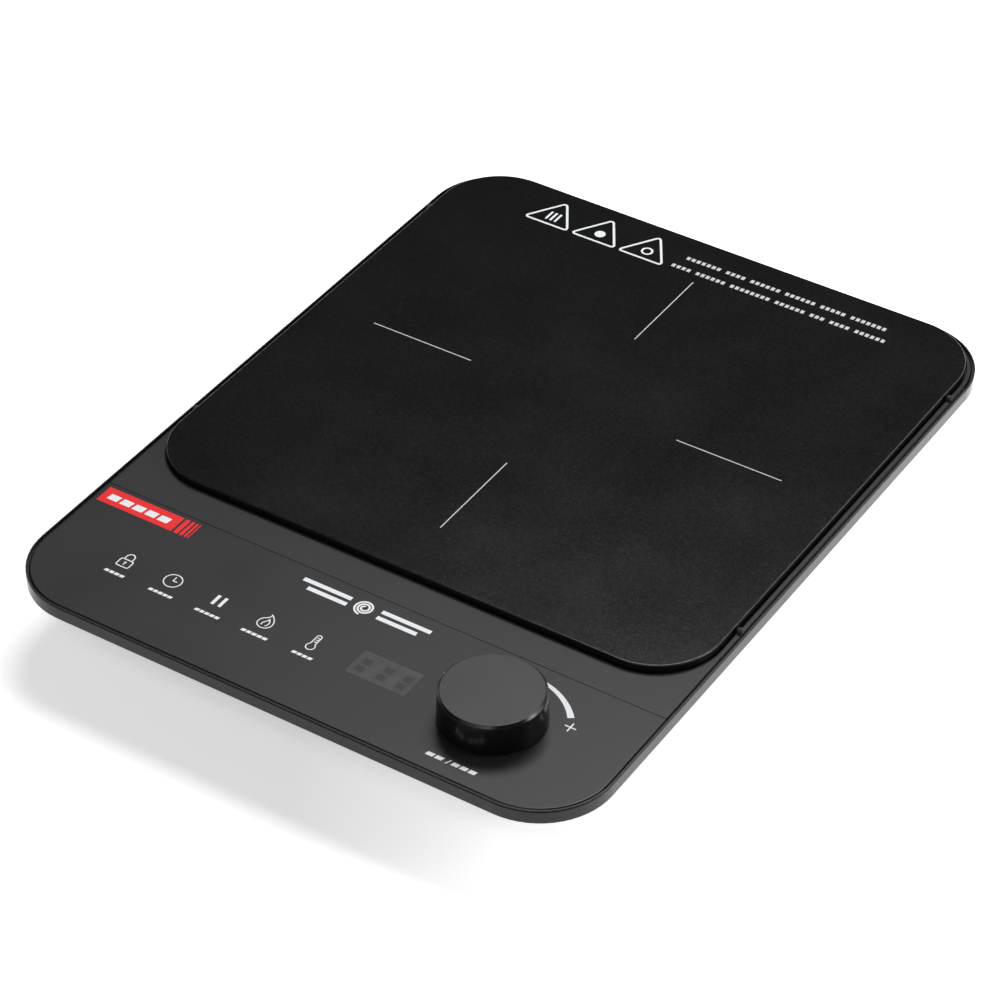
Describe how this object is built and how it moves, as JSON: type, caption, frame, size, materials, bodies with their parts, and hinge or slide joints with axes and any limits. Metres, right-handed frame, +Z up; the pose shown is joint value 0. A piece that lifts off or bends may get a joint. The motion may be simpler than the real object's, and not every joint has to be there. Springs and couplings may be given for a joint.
{
  "type": "portable induction hob",
  "caption": "Slim portable single-zone induction hob with a square glass plate, a touch control panel and a push-and-turn knob.",
  "frame": {"origin": "on the surface that the feet stand on, under the middle of the outline", "axes": "+Z up, +Y towards the rear where the mains lead enters, -Y towards the controls, +X to the right seen from the front"},
  "size_m": [0.28, 0.3682, 0.055],
  "materials": {
    "housing_plastic": "fine spark texture",
    "base_plastic": "coarse spark texture",
    "black_glass": "satin black, printed from below",
    "seal_silicone": "matte",
    "soft_rubber": "matte",
    "overlay_plastic": "smooth satin",
    "smoked_window": "smoked satin",
    "foot_rubber": "matte",
    "gland_rubber": "matte",
    "screw_steel": "zinc plated",
    "former_plastic": "natural white",
    "litz_copper": "enamelled litz",
    "ferrite": "dark sintered",
    "terminal_brass": "bright",
    "mica": "pale satin",
    "white_silicone": "matte",
    "sensor_metal": "satin",
    "board_laminate": "green solder mask",
    "header_plastic": "matte",
    "sink_aluminium": "extruded",
    "package_black": "moulded epoxy",
    "film_capacitor": "blue",
    "suppressor_yellow": "yellow",
    "capacitor_can": "dark sleeve",
    "choke_powder": "painted powder core",
    "enamelled_copper": "enamel",
    "transformer_core": "dark sintered",
    "fuse_metal": "bright caps",
    "terminal_plastic": "green",
    "touch_foam": "foam",
    "display_plastic": "dark face",
    "zinc_metal": "die cast",
    "spring_steel": "polished",
    "knob_plastic": "satin, soft touch",
    "fan_plastic": "matte",
    "bearing_bronze": "sintered",
    "stator_copper": "wound poles"
  },
  "bodies": {
    "base": {"upper_housing": "housing_plastic", "lower_housing": "base_plastic", "glass_plate": "black_glass", "glass_seal": "seal_silicone", "glass_stops": "soft_rubber", "control_overlay": "overlay_plastic", "display_window": "smoked_window", "rubber_feet": "foot_rubber", "cord_gland": "gland_rubber", "housing_screws": "screw_steel", "coil_former": "former_plastic", "coil_winding": "litz_copper", "coil_ferrites": "ferrite", "coil_screws": "screw_steel", "coil_terminals": "terminal_brass", "mica_sheet": "mica", "sensor_holder": "white_silicone", "plate_sensor": "sensor_metal", "main_board": "board_laminate", "board_screws": "screw_steel", "board_header": "header_plastic", "heat_sink": "sink_aluminium", "power_switch": "package_black", "bridge_rectifier": "package_black", "package_screws": "screw_steel", "resonant_capacitor": "film_capacitor", "filter_capacitor": "film_capacitor", "mains_capacitor": "suppressor_yellow", "electrolytic_capacitors": "capacitor_can", "choke_core": "choke_powder", "choke_winding": "enamelled_copper", "supply_transformer": "transformer_core", "fuse": "fuse_metal", "fuse_clips": "terminal_brass", "mains_terminals": "terminal_plastic", "buzzer": "package_black", "control_board": "board_laminate", "control_board_screws": "screw_steel", "touch_pads": "touch_foam", "display_module": "display_plastic", "encoder_body": "package_black", "encoder_bush": "zinc_metal", "encoder_nut": "zinc_metal", "encoder_dome": "spring_steel", "fan_frame": "fan_plastic", "fan_bearing": "bearing_bronze", "fan_stator": "stator_copper", "fan_screws": "screw_steel"},
    "push_slider": {"encoder_plunger": "header_plastic"},
    "knob": {"control_knob": "knob_plastic", "encoder_shaft": "zinc_metal"},
    "fan_rotor": {"fan_rotor": "fan_plastic", "fan_magnet": "ferrite", "fan_shaft": "spring_steel"}
  },
  "joints": [
    {"name": "knob_push", "type": "slide", "parent": "base", "child": "push_slider", "axis": [0, 0, -1], "range_m": [0, 0.0005], "stiffness_N_per_m": 3000, "springref_m": -0.0012, "deforming": ["encoder_dome"]},
    {"name": "knob_turn", "type": "hinge", "parent": "push_slider", "child": "knob", "pos_m": [0.0804, -0.1439, 0.04], "axis": [0, 0, 1], "continuous": true},
    {"name": "fan_spin", "type": "hinge", "parent": "base", "child": "fan_rotor", "pos_m": [-0.052, 0.045, 0.012], "axis": [0, 0, 1], "continuous": true}
  ]
}
